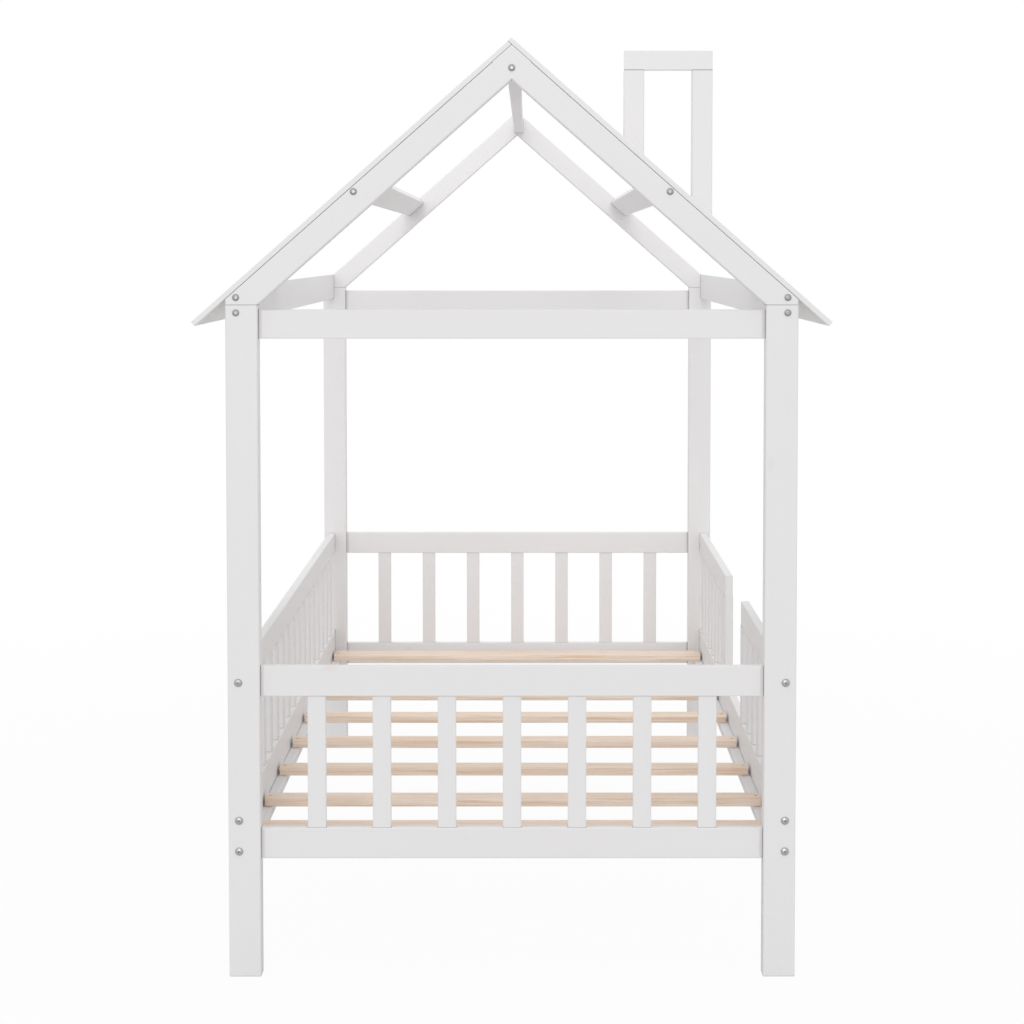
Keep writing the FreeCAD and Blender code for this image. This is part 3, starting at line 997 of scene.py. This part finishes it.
# The camera sees the floor as nearly white by the bed, and as all white from 4 m out.
NEAR_WHITE, FULL_WHITE = 0.94, 1.0
FADE_START, FADE_STOP = 1.3, 4.0
KEY_ANGLE = math.radians(20)
KEY_PLACE = (-0.6, -7.0, 1.9)
KEY_TARGET = (0, 0, 0.8)
BACK_SIZE = 2.4
BACK_PLACE = (0, -0.9, 4.5)
BACK_TARGET = (0, 0.95, 0.6)
SENSOR_WIDTH = 36.0
FOCAL_LENGTH = 76.902
SHIFT_X, SHIFT_Y = -0.0174, -0.15
CAMERA_PLACE = (0.0311, -5.0542, 1.3658)
CAMERA_TILT = math.radians(90 - 2.822)
CAMERA_TURN = math.radians(-0.033)


class HOUSEBED_OT_set_stage(Operator):
    """Set the floor, the light and the camera"""

    bl_idname = "housebed.set_stage"
    bl_label = "Set the stage"

    def execute(self, context):
        stage = context.scene.housebed_stage
        self.lay_floor(stage)
        self.light_room(context.scene, stage)
        self.place_camera(context.scene)
        context.scene.view_settings.view_transform = "Standard"
        return {"FINISHED"}

    def lay_floor(self, stage):
        """Pale floor that keeps a faint shadow by the bed and melts into the background."""
        half = FLOOR_HALF
        mesh = bpy.data.meshes.new("studio_floor")
        corners = [(-half, -half, 0), (half, -half, 0), (half, half, 0), (-half, half, 0)]
        mesh.from_pydata(corners, [], [(0, 1, 2, 3)])
        floor = put_in_scene("studio_floor", mesh)
        material, tree = new_material("matt_white_paper")
        matt = principled(tree, (*stage.floor, 1), FLOOR_ROUGHNESS)
        glow = add(tree, "ShaderNodeEmission", {"Color": WHITE, "Strength": 1.0})
        out = length_of(tree, add(tree, "ShaderNodeTexCoord").outputs["Object"])
        white = remap(tree, out, NEAR_WHITE, FULL_WHITE, FADE_START, FADE_STOP)
        camera = add(tree, "ShaderNodeLightPath").outputs["Is Camera Ray"]
        seen = calc(tree, "MULTIPLY", camera, white)
        inputs = {0: seen, 1: matt.outputs[0], 2: glow.outputs[0]}
        finish_surface(tree, add(tree, "ShaderNodeMixShader", inputs))
        mesh.materials.append(material)

    def light_room(self, scene, stage):
        """Even light all round, a wide key light in front and a soft box over the back end."""
        world = bpy.data.worlds.new("white_room")
        world.use_nodes = True
        tree = world.node_tree
        tree.nodes.clear()
        # The room is full white to the camera and in reflections.
        path = add(tree, "ShaderNodeLightPath").outputs
        seen = calc(tree, "MAXIMUM", path["Is Camera Ray"], path["Is Glossy Ray"])
        seen = calc(tree, "MAXIMUM", seen, path["Is Transmission Ray"])
        strength = remap(tree, seen, stage.ambient, 1.0)
        glow = add(tree, "ShaderNodeBackground", {"Color": WHITE, "Strength": strength})
        add(tree, "ShaderNodeOutputWorld", {"Surface": glow.outputs[0]})
        scene.world = world
        key = bpy.data.lights.new("key_softbox", "SUN")
        key.angle = KEY_ANGLE
        key.energy = stage.key_strength
        self.hang(key, KEY_PLACE, KEY_TARGET)
        back = bpy.data.lights.new("back_softbox", "AREA")
        back.shape = "SQUARE"
        back.size = BACK_SIZE
        back.energy = stage.back_power
        self.hang(back, BACK_PLACE, BACK_TARGET)

    def hang(self, light, place, target):
        """Lamp at a place, turned to a target."""
        lamp = put_in_scene(light.name, light)
        lamp.location = place
        aim = Vector(target) - Vector(place)
        lamp.rotation_euler = aim.to_track_quat("-Z", "Y").to_euler()

    def place_camera(self, scene):
        """Camera in front of the bed at eye height, as in the picture."""
        lens = bpy.data.cameras.new("camera")
        lens.sensor_width = SENSOR_WIDTH
        lens.lens = FOCAL_LENGTH
        lens.shift_x = SHIFT_X
        lens.shift_y = SHIFT_Y
        camera = put_in_scene("camera", lens)
        camera.location = CAMERA_PLACE
        camera.rotation_euler = (CAMERA_TILT, 0, CAMERA_TURN)
        scene.camera = camera


# ---- Add-on ----

OPERATORS = (
    HOUSEBED_OT_paint_timber,
    HOUSEBED_OT_lay_slats,
    HOUSEBED_OT_stand_pickets,
    HOUSEBED_OT_fit_bolts,
    HOUSEBED_OT_drive_screws,
    HOUSEBED_OT_set_stage,
)
SETTINGS = {
    "housebed_paint": PaintSettings,
    "housebed_slats": SlatSettings,
    "housebed_pickets": PicketSettings,
    "housebed_fasteners": FastenerSettings,
    "housebed_stage": StageSettings,
}


class HOUSEBED_PT_sidebar(Panel):
    """Steps and sizes of the bed"""

    bl_idname = "HOUSEBED_PT_sidebar"
    bl_label = "House Bed"
    bl_space_type = "VIEW_3D"
    bl_region_type = "UI"
    bl_category = "House Bed"

    def draw(self, context):
        for operator in OPERATORS:
            self.layout.operator(operator.bl_idname)
        for name, group in SETTINGS.items():
            box = self.layout.box()
            for label in group.__annotations__:
                box.prop(getattr(context.scene, name), label)


CLASSES = (*SETTINGS.values(), *OPERATORS, HOUSEBED_PT_sidebar)


def register():
    for made in CLASSES:
        bpy.utils.register_class(made)
    for name, group in SETTINGS.items():
        setattr(bpy.types.Scene, name, PointerProperty(type=group))


def unregister():
    for name in SETTINGS:
        delattr(bpy.types.Scene, name)
    for made in reversed(CLASSES):
        bpy.utils.unregister_class(made)


def main():
    """Build the scene."""
    register()
    bpy.ops.housebed.paint_timber()
    bpy.ops.housebed.lay_slats()
    bpy.ops.housebed.stand_pickets()
    bpy.ops.housebed.fit_bolts()
    bpy.ops.housebed.drive_screws()
    bpy.ops.housebed.set_stage()


if __name__ == "__main__":
    main()
